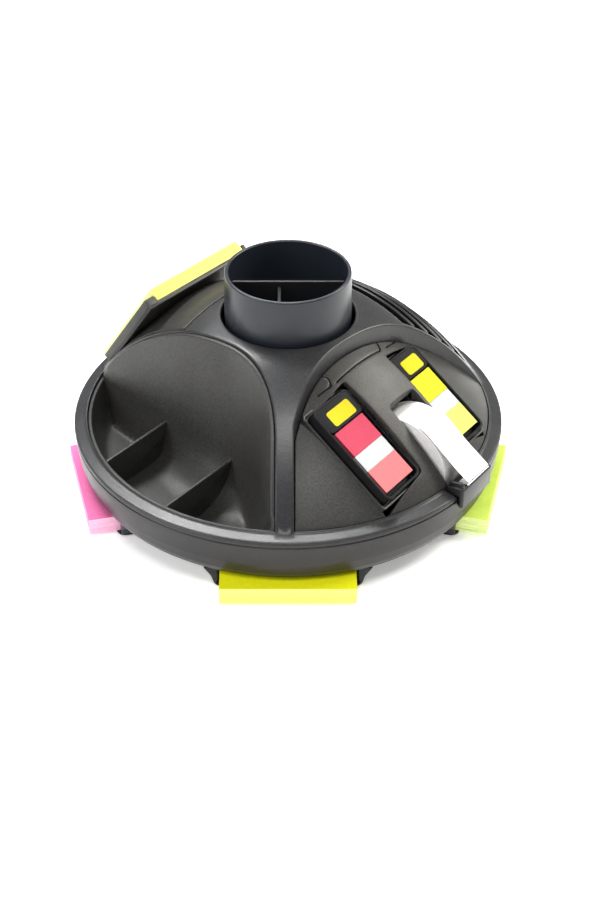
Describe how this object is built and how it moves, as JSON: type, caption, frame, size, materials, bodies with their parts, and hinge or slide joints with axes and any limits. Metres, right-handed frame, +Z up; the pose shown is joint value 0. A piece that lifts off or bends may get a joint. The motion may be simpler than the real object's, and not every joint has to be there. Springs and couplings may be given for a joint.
{
  "type": "desk organizer",
  "caption": "Rotary desk organizer: domed carousel with pen cup, clip bin, flag and tape panel, disc slots and note bay, turning on a low base with note pad trays.",
  "frame": {"origin": "on the desk surface, on the carousel's turning axis, at the bottom centre of the bounding box", "axes": "+Z up along the turning axis, -Y towards the front tray, +X to the right"},
  "size_m": [0.2672, 0.2564, 0.14],
  "materials": {
    "cover": "fine moulded grain, charcoal",
    "bowl": "satin smooth dark grey",
    "cup": "satin smooth blue-grey",
    "insert": "fine moulded grain, charcoal",
    "black_plastic": "smooth black",
    "rubber": "matte black",
    "glide": "natural acetal",
    "steel": "zinc plated",
    "blade": "bright stamped",
    "paper_neon": "neon yellow paper pad",
    "paper_pink": "pink paper pad",
    "paper_lime": "lime paper pad",
    "paper_canary": "canary paper pad",
    "flags_red": "red and white film flags",
    "flags_yellow": "yellow and white film flags",
    "tape": "frosted translucent tape",
    "core": "wound paper core",
    "clear": "clear plastic lid"
  },
  "bodies": {
    "base": {"base_plate": "black_plastic", "rubber_foot_front": "rubber", "rubber_foot_left": "rubber", "rubber_foot_right": "rubber", "rubber_foot_rear": "rubber", "glide_ring": "glide", "pivot_bolt": "steel", "pivot_washer": "steel", "pivot_nut": "steel"},
    "carousel": {"bowl_shell": "bowl", "top_cover": "cover", "cover_screw_1": "steel", "cover_screw_2": "steel", "cover_screw_3": "steel", "cover_screw_4": "steel", "pen_cup": "cup", "cup_divider": "black_plastic", "clip_bin": "insert", "flag_panel": "insert", "disc_rack": "black_plastic", "note_cradle": "insert", "tape_pin": "black_plastic", "tape_tail": "tape", "cutter_block": "black_plastic", "cutter_blade": "blade"},
    "tape": {"tape_hub": "black_plastic", "tape_core": "core", "tape_roll": "tape"},
    "wide_flags_body": {"wide_flag_case": "black_plastic", "wide_flags": "flags_red", "wide_flag_lid": "clear"},
    "narrow_flags_body": {"narrow_flag_case": "black_plastic", "narrow_flags": "flags_yellow", "narrow_flag_lid": "clear"},
    "canary_notes": {"canary_pad": "paper_canary"},
    "front_notes": {"note_pad_front": "paper_neon"},
    "left_notes": {"note_pad_left": "paper_pink"},
    "right_notes": {"note_pad_right": "paper_lime"},
    "rear_notes": {"note_pad_rear": "paper_canary"}
  },
  "joints": [
    {"name": "carousel_spin", "type": "hinge", "parent": "base", "child": "carousel", "pos_m": [0, 0, 0.0135], "axis": [0, 0, 1], "continuous": true},
    {"name": "tape_spin", "type": "hinge", "parent": "carousel", "child": "tape", "pos_m": [0.07182, -0.05004, 0.048], "axis": [0.5948, 0.8039, 0], "continuous": true},
    {"name": "wide_case_lift", "type": "slide", "parent": "carousel", "child": "wide_flags_body", "axis": [0.4553, -0.3369, 0.8241], "range_m": [0, 0.03]},
    {"name": "narrow_case_lift", "type": "slide", "parent": "carousel", "child": "narrow_flags_body", "axis": [0.4553, -0.3369, 0.8241], "range_m": [0, 0.03]},
    {"name": "canary_pull", "type": "slide", "parent": "carousel", "child": "canary_notes", "axis": [0.4394, -0.3687, 0.8192], "range_m": [0, 0.075]},
    {"name": "front_pad_pull", "type": "slide", "parent": "base", "child": "front_notes", "axis": [0, -1, 0], "range_m": [0, 0.08]},
    {"name": "left_pad_pull", "type": "slide", "parent": "base", "child": "left_notes", "axis": [-0.9703, -0.2419, 0], "range_m": [0, 0.08]},
    {"name": "right_pad_pull", "type": "slide", "parent": "base", "child": "right_notes", "axis": [0.9703, -0.2419, 0], "range_m": [0, 0.08]},
    {"name": "rear_pad_pull", "type": "slide", "parent": "base", "child": "rear_notes", "axis": [0, 1, 0], "range_m": [0, 0.08]}
  ]
}
